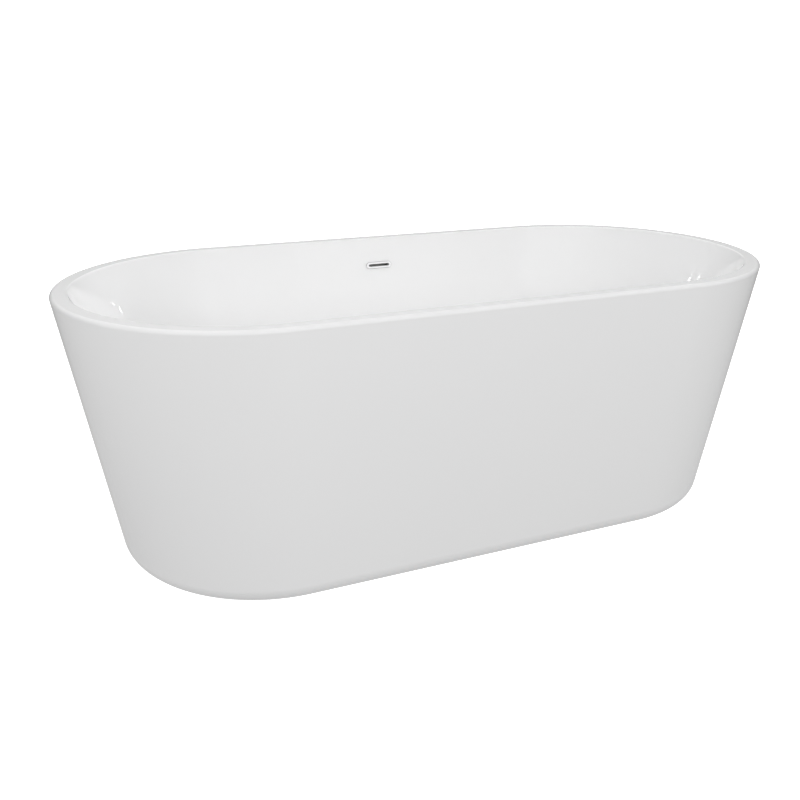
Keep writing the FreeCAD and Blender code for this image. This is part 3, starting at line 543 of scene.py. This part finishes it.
def screw_mesh(length, pitch):
    """A pan-head screw with a cross recess. Its head's underside is at the origin and its shank goes down."""
    flat_r = SCREW_HEAD_R * SCREW_FLAT
    side_z = SCREW_HEAD_HEIGHT * SCREW_SIDE
    profile = [(SCREW_HEAD_R * SCREW_UNDERSIDE, 0), (SCREW_HEAD_R, SUPPORT / 4), (SCREW_HEAD_R, side_z)]
    for angle in map(math.radians, range(15, 91, 15)):
        reach = flat_r + (SCREW_HEAD_R - flat_r) * math.cos(angle)
        profile.append((reach, side_z + (SCREW_HEAD_HEIGHT - side_z) * math.sin(angle)))
    head = finished(capped(mesh_of_rows("screw", turned_rows(profile))), "screw")
    rod = threaded_rod("shank", SCREW_R, pitch, SCREW_THREAD_DEPTH, -length, SUPPORT, 16)
    combine(head, rod, "UNION")
    for turn in (0, 90):
        blade = recess_blade()
        blade.matrix_world = Matrix.Rotation(math.radians(turn), 4, "Z")
        combine(head, blade, "DIFFERENCE")
    return take_mesh(head)


def recess_blade():
    """One wing of a cross recess: a flat wedge that narrows downward."""
    rows = []
    for share, half_x, half_y in RECESS_SECTIONS:
        corners = [(sx * half_x, sy * half_y) for sx, sy in ((1, 1), (-1, 1), (-1, -1), (1, -1))]
        z = share * SCREW_HEAD_HEIGHT
        rows.append(np.array([(x * SCREW_HEAD_R, y * SCREW_HEAD_R, z) for x, y in corners]))
    return finished(capped(mesh_of_rows("blade", rows)), "blade")


def copies(name, mesh, places):
    """One piece made of copies of a mesh, each at its own matrix. The mesh goes."""
    bm = bmesh.new()
    for place in places:
        moved = mesh.copy()
        moved.transform(place)
        bm.from_mesh(moved)
        bpy.data.meshes.remove(moved)
    joined = bpy.data.meshes.new(name)
    bm.to_mesh(joined)
    bm.free()
    bpy.data.meshes.remove(mesh)
    return finished(joined, name)


def stands_for(piece, node, body, slot, materials):
    """The piece takes a CAD node's place, its body and its finish."""
    piece.data.materials.clear()
    piece.data.materials.append(materials[slot])
    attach(piece, body)
    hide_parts(node)


def middle(node):
    """The middle of a CAD node's box."""
    low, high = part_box(node)
    return (low + high) / 2


def foot_shift(number):
    """The move from the origin to a foot, level."""
    centre = middle(f"foot_stud_{number}")
    return Matrix.Translation((centre.x, centre.y, 0))


def make_feet(materials):
    """The studs, each on its own body, and the nuts, which stay with the tub."""
    stud = foot_stud()
    for number in range(1, FEET + 1):
        piece = copies(f"threaded_stud_{number}", stud.copy(), [foot_shift(number)])
        stands_for(piece, f"foot_stud_{number}", f"foot_{number}_stud", "zinc_plate", materials)
    bpy.data.meshes.remove(stud)
    shifts = [foot_shift(number) for number in range(1, FEET + 1)]
    for node, name in (("foot_weld_nuts", "weld_nuts"), ("foot_lock_nuts", "lock_nuts")):
        low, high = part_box(node)
        stands_for(copies(name, nut_mesh(low.z, high.z), shifts), node, "tub", "zinc_plate", materials)


def strap_ways():
    """For each strap: its level direction, its middle line's place, and how far out its root and tip are."""
    found = []
    for number in range(1, STRAPS + 1):
        low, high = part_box(f"skirt_bracket_{number}")
        centre, size = (low + high) / 2, high - low
        along_x = size.x > size.y
        if along_x:
            way, side = Vector((math.copysign(1, centre.x), 0, 0)), Vector((0, centre.y, 0))
        else:
            way, side = Vector((0, math.copysign(1, centre.y), 0)), Vector((centre.x, 0, 0))
        half = abs(size.dot(way)) / 2
        found.append((way, side, centre.dot(way) - half, centre.dot(way) + half))
    return found


def make_screws(materials):
    """Screws up through the rails to the board, through the straps to the rails, and down into the lip."""
    rail_middle_z = middle("front_rail").z
    head_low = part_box("board_screws")[0].z + SCREW_HEAD_HEIGHT
    upside_down = Matrix.Rotation(math.pi, 4, "X")
    board = [
        Matrix.Translation((x, middle(rail).y, head_low)) @ upside_down
        for rail in ("front_rail", "back_rail")
        for x in BOARD_SCREW_XS
    ]
    lip_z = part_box("bracket_skirt_screws")[1].z - SCREW_HEAD_HEIGHT
    rails, lips = [], []
    for way, side, root, tip in strap_ways():
        face = side + way * (root + STRAP_THICKNESS) + Vector((0, 0, rail_middle_z))
        rails.append(Matrix.Translation(face) @ way.to_track_quat("Z", "Y").to_matrix().to_4x4())
        lips.append(Matrix.Translation(side + way * (tip - STRAP_SCREW_INSET) + Vector((0, 0, lip_z))))
    sets = (
        ("board_screws", BOARD_SCREW_LENGTH, BOARD_SCREW_PITCH, board),
        ("bracket_rail_screws", RAIL_SCREW_LENGTH, MACHINE_PITCH, rails),
        ("bracket_skirt_screws", LIP_SCREW_LENGTH, MACHINE_PITCH, lips),
    )
    for node, length, pitch, places in sets:
        piece = copies(f"cross_head_{node}", screw_mesh(length, pitch), places)
        stands_for(piece, node, "tub", "zinc_plate", materials)


# ---------------------------------------------------------------- overflow hose

HOSE_R = 0.015
HOSE_BORE_R = 0.01305
HOSE_GROOVE = 0.0011
HOSE_PITCH = 0.0055
HOSE_CUFF = 0.030
HOSE_BEND_R = 0.100
HOSE_AXIS_DEPTH = 0.0215
HOSE_START_DROP = 0.020
HOSE_END_Y = 0.037
PORT_Z = 0.066
HOSE_COLUMNS = 32
BORE_ROWS = 120
CUFF_SHARES = (0, 0.04, 0.5, 0.96)
# One corrugation: share of its pitch and share of its height
RIDGE_PROFILE = (
    (0.0, 0.55),
    (0.1, 0.95),
    (0.3, 1.0),
    (0.5, 0.95),
    (0.6, 0.55),
    (0.7, 0.05),
    (0.85, 0.0),
    (0.95, 0.05),
)


def hose_route():
    """The hose's run down the wall, its bend and its run in to the drain, by distance, and its length."""
    start = overflow_place() @ Vector((0, -HOSE_START_DROP, -HOSE_AXIS_DEPTH))
    down = (overflow_place().to_3x3() @ Vector((0, -1, 0))).normalized()
    corner = start + down * ((PORT_Z - start.z) / down.z)
    end = Vector((0, HOSE_END_Y, PORT_Z))
    inward = (end - corner).normalized()
    bend = down.angle(inward)
    tangent = HOSE_BEND_R * math.tan(bend / 2)
    first, last = (corner - start).length - tangent, (end - corner).length - tangent
    bend_start = start + down * first
    to_centre = (inward - down * down.dot(inward)).normalized()

    def at(distance):
        if distance < first:
            return start + down * distance, down
        angle = (distance - first) / HOSE_BEND_R
        if angle < bend:
            way = down * math.cos(angle) + to_centre * math.sin(angle)
            moved = down * math.sin(angle) + to_centre * (1 - math.cos(angle))
            return bend_start + moved * HOSE_BEND_R, way
        return end - inward * (first + HOSE_BEND_R * bend + last - distance), inward

    return at, first + HOSE_BEND_R * bend + last


def make_hose(materials):
    """A corrugated hose with a plain cuff at each end."""
    at, length = hose_route()
    ridges = int((length - 2 * HOSE_CUFF) / HOSE_PITCH)
    pitch = (length - 2 * HOSE_CUFF) / ridges
    outside = [(share * HOSE_CUFF, HOSE_R) for share in CUFF_SHARES]
    for k in range(ridges):
        for share, height in RIDGE_PROFILE:
            outside.append((HOSE_CUFF + (k + share) * pitch, HOSE_R - (1 - height) * HOSE_GROOVE))
    outside += [(length - share * HOSE_CUFF, HOSE_R) for share in (1, *CUFF_SHARES[::-1])]
    inside = [(distance, HOSE_BORE_R) for distance in np.linspace(length, 0, BORE_ROWS)]
    turn = np.arange(HOSE_COLUMNS) * 2 * math.pi / HOSE_COLUMNS
    rows = []
    for distance, radius in outside + inside:
        centre, way = at(distance)
        across = np.array(way.cross(Vector((1, 0, 0))))
        ring = np.outer(np.cos(turn), (1, 0, 0)) + np.outer(np.sin(turn), across)
        rows.append(np.array(centre) + radius * ring)
    piece = finished(mesh_of_rows("corrugated_hose", rows, closed=True), "corrugated_hose", 60)
    stands_for(piece, "overflow_hose", "tub", "hose_plastic", materials)


# ---------------------------------------------------------------- materials


class Finish:
    """A material's node tree, with the few building blocks that the finishes share."""

    def __init__(self, name, color, **constants):
        self.material = bpy.data.materials.new(name)
        self.material.use_nodes = True
        self.tree = self.material.node_tree
        self.shader = self.tree.nodes["Principled BSDF"]
        self.shader.inputs["Base Color"].default_value = (*color, 1)
        for socket, value in constants.items():
            self.shader.inputs[socket.replace("_", " ")].default_value = value
        self.coordinates = self.tree.nodes.new("ShaderNodeTexCoord").outputs["Object"]

    def node(self, kind, **inputs):
        """A node of this kind with its constant inputs set."""
        made = self.tree.nodes.new(kind)
        for socket, value in inputs.items():
            made.inputs[socket.replace("_", " ")].default_value = value
        return made

    def stretched(self, scale):
        """Object coordinates scaled by a vector, for grain with a direction."""
        mapping = self.node("ShaderNodeMapping", Scale=scale)
        self.tree.links.new(self.coordinates, mapping.inputs["Vector"])
        return mapping.outputs["Vector"]

    def noise(self, scale, detail=3.0, roughness=0.5, where=None):
        """Soft noise, scale lumps to the metre."""
        made = self.node("ShaderNodeTexNoise", Scale=scale, Detail=detail, Roughness=roughness)
        self.tree.links.new(where or self.coordinates, made.inputs["Vector"])
        return made.outputs["Fac"]

    def cells(self, scale, output="Distance", where=None):
        """Irregular cells, scale of them to the metre."""
        made = self.node("ShaderNodeTexVoronoi", Scale=scale)
        self.tree.links.new(where or self.coordinates, made.inputs["Vector"])
        return made.outputs[output]

    def ramp(self, source, low, high, start=0.3, end=0.7):
        """source between start and end, mapped to the range from low to high."""
        made = self.node("ShaderNodeMapRange", From_Min=start, From_Max=end, To_Min=low, To_Max=high)
        self.tree.links.new(source, made.inputs["Value"])
        return made.outputs["Result"]

    def vary(self, socket, source, low, high, start=0.3, end=0.7):
        """One of the shader's values goes from low to high with source."""
        self.tree.links.new(self.ramp(source, low, high, start, end), self.shader.inputs[socket])

    def tint(self, source, first, second, start=0.3, end=0.7):
        """The base colour goes from first to second with source."""
        mix = self.tree.nodes.new("ShaderNodeMix")
        mix.data_type = "RGBA"
        mix.inputs["A"].default_value = (*first, 1)
        mix.inputs["B"].default_value = (*second, 1)
        self.tree.links.new(self.ramp(source, 0, 1, start, end), mix.inputs["Factor"])
        self.tree.links.new(mix.outputs["Result"], self.shader.inputs["Base Color"])

    def bump(self, source, depth, after=None):
        """Bump of a depth in metres. after is another bump to add this one to."""
        made = self.node("ShaderNodeBump", Strength=1.0, Distance=depth)
        self.tree.links.new(source, made.inputs["Height"])
        if after is not None:
            self.tree.links.new(after, made.inputs["Normal"])
        self.tree.links.new(made.outputs["Normal"], self.shader.inputs["Normal"])
        return made.outputs["Normal"]


def acrylic():
    finish = Finish("acrylic_gloss", (0.80, 0.80, 0.80), Roughness=0.06, IOR=1.49, Coat_Weight=0.3)
    finish.shader.inputs["Coat Roughness"].default_value = 0.03
    haze = finish.noise(2.3, detail=4.0)
    finish.vary("Roughness", haze, 0.05, 0.09)
    finish.tint(finish.noise(1.4), (0.795, 0.795, 0.797), (0.805, 0.805, 0.805))
    peel = finish.bump(finish.noise(55.0, detail=2.0), 0.00005)
    finish.bump(finish.noise(900.0, detail=2.0), 0.000002, after=peel)
    return finish.material


def glass_fibre():
    finish = Finish("glass_fibre_laminate", (0.62, 0.61, 0.50), Roughness=0.55, IOR=1.55)
    strands = finish.cells(140.0, where=finish.stretched((1.0, 1.0, 5.0)))
    finish.tint(finish.noise(60.0, detail=6.0), (0.66, 0.65, 0.55), (0.50, 0.48, 0.36))
    finish.vary("Roughness", strands, 0.35, 0.75, 0.0, 0.7)
    coarse = finish.bump(strands, 0.0008)
    finish.bump(finish.noise(420.0, detail=5.0), 0.0003, after=coarse)
    return finish.material


def chipboard():
    finish = Finish("coated_chipboard", (0.55, 0.40, 0.24), Roughness=0.5)
    flakes = finish.cells(150.0, output="Color", where=finish.stretched((1.0, 1.6, 3.0)))
    finish.tint(flakes, (0.62, 0.46, 0.29), (0.36, 0.24, 0.13), 0.2, 0.9)
    finish.vary("Roughness", finish.noise(30.0, detail=5.0), 0.28, 0.62)
    finish.bump(finish.noise(260.0, detail=6.0), 0.0004)
    return finish.material


def galvanised():
    finish = Finish("galvanised_steel", (0.52, 0.54, 0.56), Metallic=1.0, Roughness=0.4)
    spangle = finish.cells(70.0, output="Color", where=finish.stretched((1.0, 0.8, 1.2)))
    finish.tint(spangle, (0.44, 0.46, 0.48), (0.66, 0.68, 0.70), 0.1, 0.9)
    finish.vary("Roughness", spangle, 0.27, 0.5, 0.1, 0.9)
    finish.bump(finish.noise(380.0, detail=5.0), 0.00012)
    return finish.material


def zinc():
    finish = Finish("zinc_plate", (0.66, 0.68, 0.70), Metallic=1.0, Roughness=0.28)
    finish.tint(finish.noise(240.0, detail=4.0), (0.60, 0.62, 0.66), (0.74, 0.74, 0.72))
    finish.vary("Roughness", finish.noise(600.0, detail=4.0), 0.2, 0.38)
    finish.bump(finish.noise(1500.0), 0.00002)
    return finish.material


def foot_plastic():
    finish = Finish("black_nylon", (0.028, 0.028, 0.03), Roughness=0.5, IOR=1.53)
    finish.tint(finish.noise(90.0, detail=4.0), (0.022, 0.022, 0.024), (0.045, 0.045, 0.047))
    finish.vary("Roughness", finish.noise(320.0, detail=4.0), 0.4, 0.62)
    finish.bump(finish.noise(2600.0, detail=3.0), 0.00006)
    return finish.material


def chrome():
    finish = Finish("polished_chrome", (0.90, 0.90, 0.91), Metallic=1.0, Roughness=0.06)
    finish.tint(finish.noise(30.0), (0.88, 0.88, 0.89), (0.92, 0.92, 0.93))
    finish.vary("Roughness", finish.noise(120.0, detail=6.0), 0.035, 0.11)
    finish.bump(finish.noise(70.0, detail=2.0), 0.00001)
    return finish.material


def brass():
    finish = Finish("turned_brass", (0.72, 0.53, 0.24), Metallic=1.0, Roughness=0.25)
    rings = finish.noise(300.0, detail=3.0, where=finish.stretched((0.2, 0.2, 14.0)))
    finish.tint(finish.noise(200.0, detail=4.0), (0.66, 0.47, 0.20), (0.78, 0.60, 0.30))
    finish.vary("Roughness", rings, 0.17, 0.36)
    finish.bump(rings, 0.00002)
    return finish.material


def stainless():
    finish = Finish("brushed_stainless", (0.58, 0.58, 0.58), Metallic=1.0, Roughness=0.28)
    brushed = finish.noise(200.0, detail=5.0, where=finish.stretched((1.0, 1.0, 18.0)))
    finish.tint(brushed, (0.52, 0.52, 0.52), (0.66, 0.66, 0.65))
    finish.vary("Roughness", brushed, 0.2, 0.38)
    finish.bump(brushed, 0.00001)
    return finish.material


def acetal():
    finish = Finish("white_acetal", (0.76, 0.76, 0.73), Roughness=0.35, IOR=1.48)
    finish.tint(finish.noise(70.0, detail=3.0), (0.74, 0.74, 0.71), (0.79, 0.79, 0.77))
    finish.vary("Roughness", finish.noise(500.0, detail=3.0), 0.28, 0.45)
    finish.bump(finish.noise(1800.0), 0.00002)
    return finish.material


def rubber():
    finish = Finish("black_rubber", (0.022, 0.022, 0.022), Roughness=0.75, IOR=1.5)
    finish.tint(finish.noise(110.0, detail=5.0), (0.018, 0.018, 0.018), (0.05, 0.049, 0.047))
    finish.vary("Roughness", finish.noise(600.0, detail=3.0), 0.62, 0.88)
    finish.bump(finish.noise(1900.0, detail=4.0), 0.00005)
    return finish.material


def moulded(name, pale, dark, roughness):
    """A moulded pipe plastic with a slight flow pattern and a fine satin texture."""
    finish = Finish(name, pale, Roughness=roughness, IOR=1.49)
    finish.tint(finish.noise(18.0, detail=4.0), pale, dark)
    finish.vary("Roughness", finish.noise(400.0, detail=4.0), roughness - 0.08, roughness + 0.1)
    finish.bump(finish.noise(1400.0, detail=2.0), 0.00003)
    return finish.material


def drain_plastic():
    return moulded("white_polypropylene", (0.74, 0.74, 0.73), (0.69, 0.69, 0.67), 0.38)


def hose_plastic():
    return moulded("grey_hose_plastic", (0.52, 0.53, 0.54), (0.46, 0.47, 0.48), 0.42)


FINISHES = {
    "acrylic": acrylic,
    "glass_fibre": glass_fibre,
    "chipboard": chipboard,
    "galvanised_steel": galvanised,
    "zinc_plate": zinc,
    "foot_plastic": foot_plastic,
    "chrome": chrome,
    "brass": brass,
    "stainless": stainless,
    "acetal": acetal,
    "seal_rubber": rubber,
    "drain_plastic": drain_plastic,
    "hose_plastic": hose_plastic,
}


def finish_nodes(materials):
    """Each CAD node gets the finish that the record's material slot names."""
    for part in frame["record"]["subparts"]:
        for holder in nodes[part["node"]].material_slots:
            holder.material = materials[part["material_slot"]]


# ---------------------------------------------------------------- studio

FLOOR_R = 50.0
COVE_R = 10.0
BACKDROP_TOP_Z = 45.0
COVE_ROWS = 13
BACKDROP_COLUMNS = 96
FLOOR_COLOR = (0.50, 0.50, 0.50)
FLOOR_GLOW = 0.92


def make_floor():
    """A wide pale floor that curves up into a backdrop. Only the camera sees it: it doesn't light the tub."""
    turns = np.linspace(0, QUARTER, COVE_ROWS)
    cove = [(FLOOR_R + COVE_R * math.sin(turn), COVE_R * (1 - math.cos(turn))) for turn in turns]
    rows = turned_rows([*cove, (FLOOR_R + COVE_R, BACKDROP_TOP_Z)], BACKDROP_COLUMNS)
    mesh = mesh_of_rows("floor", rows)
    bm = bmesh.new()
    bm.from_mesh(mesh)
    close_at(bm, 0)
    bmesh.ops.recalc_face_normals(bm, faces=bm.faces)
    bmesh.ops.reverse_faces(bm, faces=bm.faces)
    bm.to_mesh(mesh)
    bm.free()
    floor = bpy.data.objects.new("floor", mesh)
    bpy.context.collection.objects.link(floor)
    finish = Finish("pale_floor", FLOOR_COLOR, Roughness=0.85)
    finish.shader.inputs["Specular IOR Level"].default_value = 0.1
    finish.shader.inputs["Emission Color"].default_value = (1, 1, 1, 1)
    finish.shader.inputs["Emission Strength"].default_value = FLOOR_GLOW
    finish.vary("Roughness", finish.noise(1.5), 0.8, 0.9)
    mesh.materials.append(finish.material)
    floor.visible_diffuse = floor.visible_glossy = floor.visible_shadow = False


# Strength of the studio's glow from below, level, above and in front
NADIR_GLOW = 0.59
HORIZON_GLOW = 0.22
ZENITH_GLOW = 0.50
FRONT_GLOW = 0.40
# The height of a direction's unit vector at which the level glow has given way to the ones above and below
HORIZON_FADE = 0.5
# The front glow's middle, and the cosine of the angle at which it ends
FRONT_WAY = (0.36, -0.90, 0.25)
FRONT_SPREAD = 0.55


def make_world():
    """Soft light all round, dimmest at the horizon, with a wide glow in front."""
    world = bpy.data.worlds.new("studio")
    bpy.context.scene.world = world
    world.use_nodes = True
    tree = world.node_tree
    where = tree.nodes.new("ShaderNodeTexCoord").outputs["Generated"]

    def fade(way, start, end, low, high):
        """low to high as the direction's share along way goes from start to end."""
        along = tree.nodes.new("ShaderNodeVectorMath")
        along.operation = "DOT_PRODUCT"
        along.inputs[1].default_value = way
        tree.links.new(where, along.inputs[0])
        made = tree.nodes.new("ShaderNodeMapRange")
        made.interpolation_type = "SMOOTHSTEP"
        for socket, value in zip(("From Min", "From Max", "To Min", "To Max"), (start, end, low, high)):
            made.inputs[socket].default_value = value
        tree.links.new(along.outputs["Value"], made.inputs["Value"])
        return made.outputs["Result"]

    def together(first, second):
        """The sum of two strengths."""
        made = tree.nodes.new("ShaderNodeMath")
        made.operation = "ADD"
        tree.links.new(first, made.inputs[0])
        tree.links.new(second, made.inputs[1])
        return made.outputs["Value"]

    above = fade((0, 0, 1), 0, HORIZON_FADE, 0, ZENITH_GLOW - HORIZON_GLOW)
    below = fade((0, 0, 1), -HORIZON_FADE, 0, NADIR_GLOW, HORIZON_GLOW)
    front = fade(FRONT_WAY, FRONT_SPREAD, 1, 0, FRONT_GLOW)
    tree.links.new(together(together(above, below), front), tree.nodes["Background"].inputs["Strength"])
    tree.nodes["Background"].inputs["Color"].default_value = (1, 1, 1, 1)


LIGHT_TARGET = (0, 0, 0.35)
LIGHT_DISTANCE = 4.5


def area_light(name, power, size, azimuth_deg, elevation_deg):
    """A flat lamp that faces the tub. Azimuth 0 is on the -Y side, and 90 on the +X side."""
    data = bpy.data.lights.new(name, "AREA")
    data.shape = "RECTANGLE"
    data.size, data.size_y = size
    data.energy = power
    light = bpy.data.objects.new(name, data)
    bpy.context.collection.objects.link(light)
    azimuth, elevation = math.radians(azimuth_deg), math.radians(elevation_deg)
    level = math.cos(elevation)
    way = Vector((math.sin(azimuth) * level, -math.cos(azimuth) * level, math.sin(elevation)))
    light.location = Vector(LIGHT_TARGET) + way * LIGHT_DISTANCE
    light.rotation_euler = way.to_track_quat("Z", "Y").to_euler()
    return light


SOFTBOX = (2.5, 2.0)
# Power in watts, azimuth and elevation in degrees
SOFTBOXES = {
    "key": (53, -23, 25),
    "left": (42, -90, 25),
    "high_fill": (41, 30, 50),
    "right_rim": (84, 130, 30),
    "back": (73, 180, 35),
}
SPARK = (0.10, 0.035)
PIN_SPARK = (0.05, 0.02)
RING_CARD = (1.2, 0.8)
# Power in watts, azimuth and elevation in degrees, and size, of the lamps that show only in the gloss
SPARKS = {
    "spark_right_near": (0.15, 112, 15.2, PIN_SPARK),
    "spark_right_far": (0.12, 117, 14.7, PIN_SPARK),
    "spark_left_near": (0.4, -152, 24.0, SPARK),
    "spark_left_far": (0.25, -161.5, 20.8, SPARK),
    "ring_card": (0.9, 23, 15, RING_CARD),
}


def make_lights():
    """Large softboxes shape the walls and don't show in the gloss. The others show only there."""
    for name, (power, azimuth_deg, elevation_deg) in SOFTBOXES.items():
        area_light(name, power, SOFTBOX, azimuth_deg, elevation_deg).visible_glossy = False
    for name, (power, azimuth_deg, elevation_deg, size) in SPARKS.items():
        area_light(name, power, size, azimuth_deg, elevation_deg).visible_diffuse = False


# The photo's camera, as fitted to the tub's outline
CAMERA_AZIMUTH_DEG = -23.1762
CAMERA_ELEVATION_DEG = 20.8449
CAMERA_ROLL_DEG = 0.3533
CAMERA_PLACE = (-0.870911, -1.841880, 1.050567)
CAMERA_LENS = 39.152
SENSOR_WIDTH = 36.0
CLIP_START = 0.05
CLIP_END = 200.0


def make_camera():
    """The scene's camera, at the photo's angle."""
    data = bpy.data.cameras.new("camera")
    data.sensor_width = SENSOR_WIDTH
    data.lens = CAMERA_LENS
    data.clip_start = CLIP_START
    data.clip_end = CLIP_END
    camera = bpy.data.objects.new("camera", data)
    bpy.context.collection.objects.link(camera)
    turn = Matrix.Rotation(math.radians(CAMERA_AZIMUTH_DEG), 4, "Z")
    tilt = Matrix.Rotation(math.radians(90 - CAMERA_ELEVATION_DEG), 4, "X")
    roll = Matrix.Rotation(math.radians(CAMERA_ROLL_DEG), 4, "Z")
    camera.matrix_world = Matrix.Translation(CAMERA_PLACE) @ turn @ tilt @ roll
    bpy.context.scene.camera = camera


materials = {slot: make() for slot, make in FINISHES.items()}
finish_nodes(materials)
make_shells(materials)
make_feet(materials)
make_screws(materials)
make_hose(materials)
bpy.context.scene.view_settings.view_transform = "Standard"
make_world()
make_floor()
make_lights()
make_camera()
